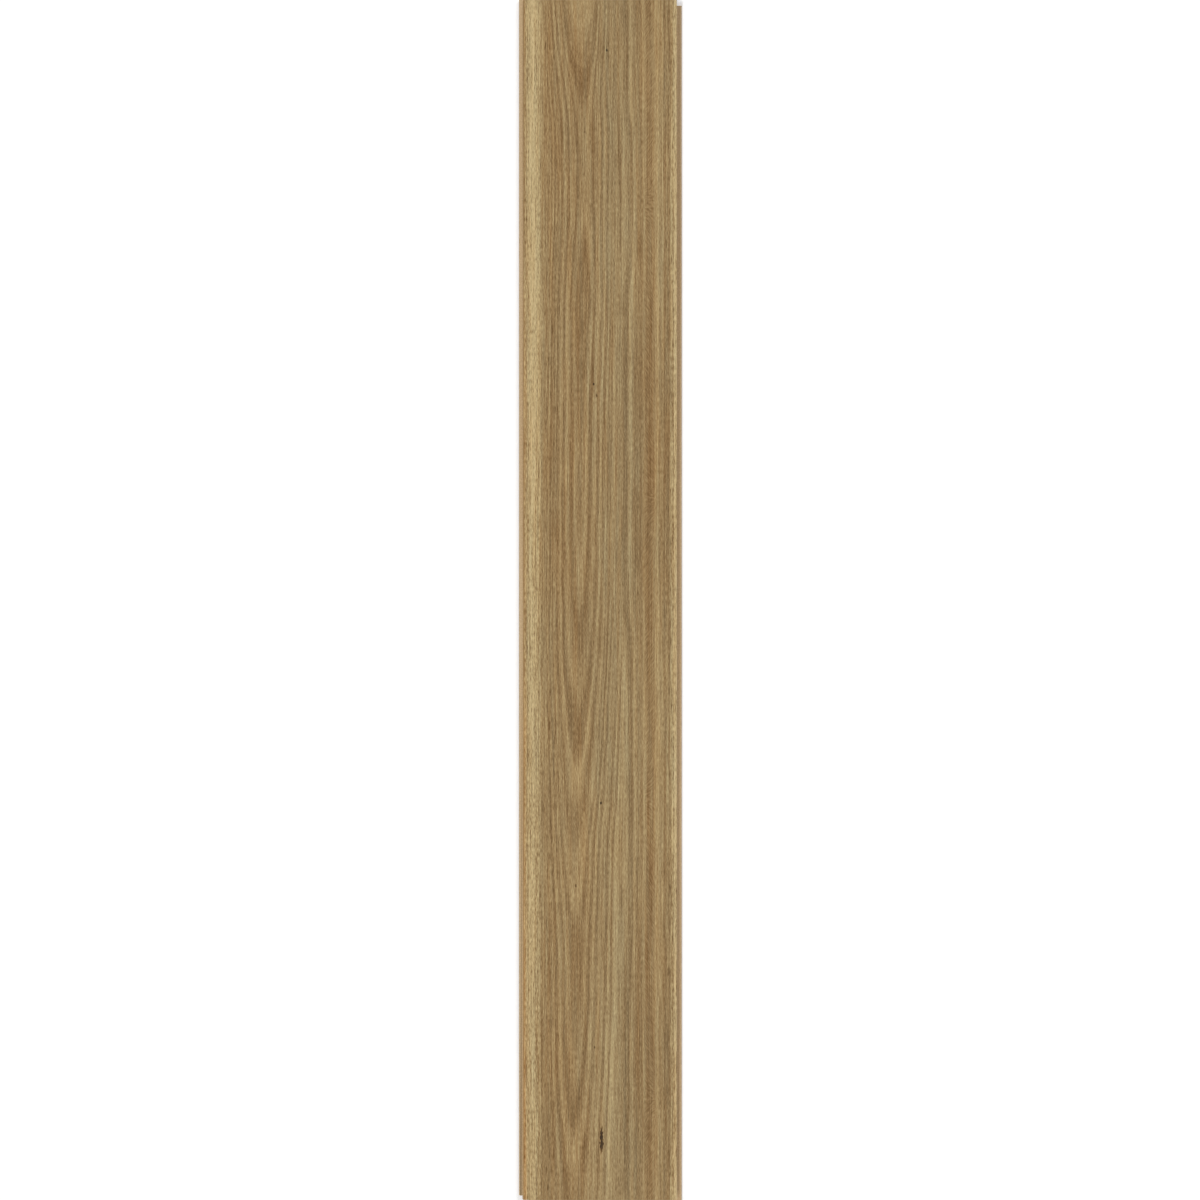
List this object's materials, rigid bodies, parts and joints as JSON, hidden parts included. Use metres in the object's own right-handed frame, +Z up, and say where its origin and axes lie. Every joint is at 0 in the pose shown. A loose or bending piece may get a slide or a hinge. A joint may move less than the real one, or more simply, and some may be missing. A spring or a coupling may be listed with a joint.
{
  "type": "laminate floor plank",
  "caption": "Long flat laminate floor plank with a straight wood-grain face, small bevels along its long edges and a click tongue-and-groove joint milled all round.",
  "frame": {"origin": "on the underside, below the middle of the face; the tongues and lips stand out past the face", "axes": "+X across the plank towards its grooved long edge, +Y along the plank towards its tongued end, +Z up out of the wear face"},
  "size_m": [0.1642, 1.2192, 0.012],
  "materials": {
    "laminate_board": "satin"
  },
  "bodies": {
    "root": {"floor_plank": "laminate_board"}
  },
  "joints": []
}
